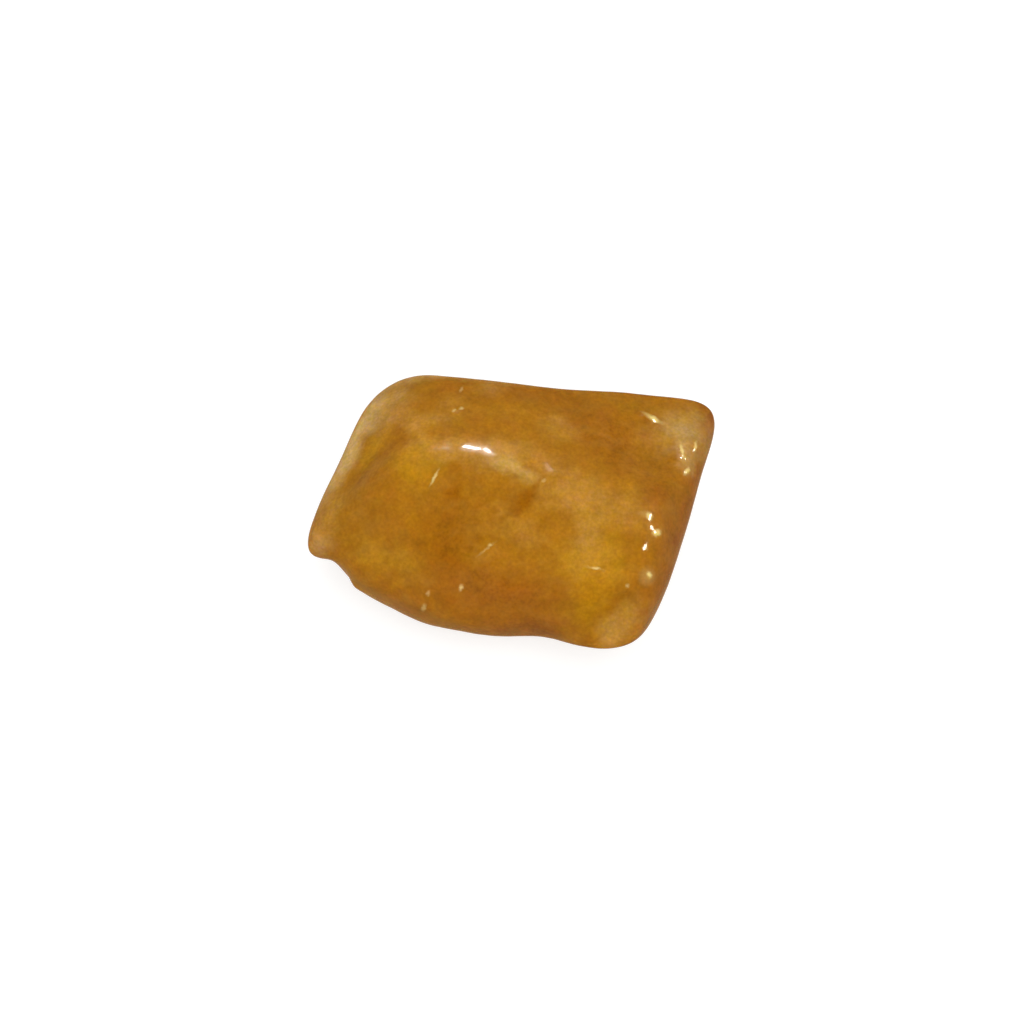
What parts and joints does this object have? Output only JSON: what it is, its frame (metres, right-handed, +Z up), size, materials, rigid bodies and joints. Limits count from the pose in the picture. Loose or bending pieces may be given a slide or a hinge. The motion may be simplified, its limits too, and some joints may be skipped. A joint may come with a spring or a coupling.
{
  "type": "tumbled raw amber piece",
  "caption": "Loose tumbled pebble of cloudy honey amber with a four-cornered outline, worn into soft flats, lying on its flattest side.",
  "frame": {"origin": "under the middle of the piece, on the plane of its resting face", "axes": "+X along the length, towards the steep end; +Y across it, from the long bowed side towards the straighter one; +Z up, from the resting face to the crest"},
  "size_m": [0.028, 0.0196, 0.0095],
  "materials": {
    "amber": "cloudy honey amber, tumble polished to a soft gloss, slightly see-through at its thin edges"
  },
  "bodies": {
    "root": {"amber": "amber"}
  },
  "joints": []
}
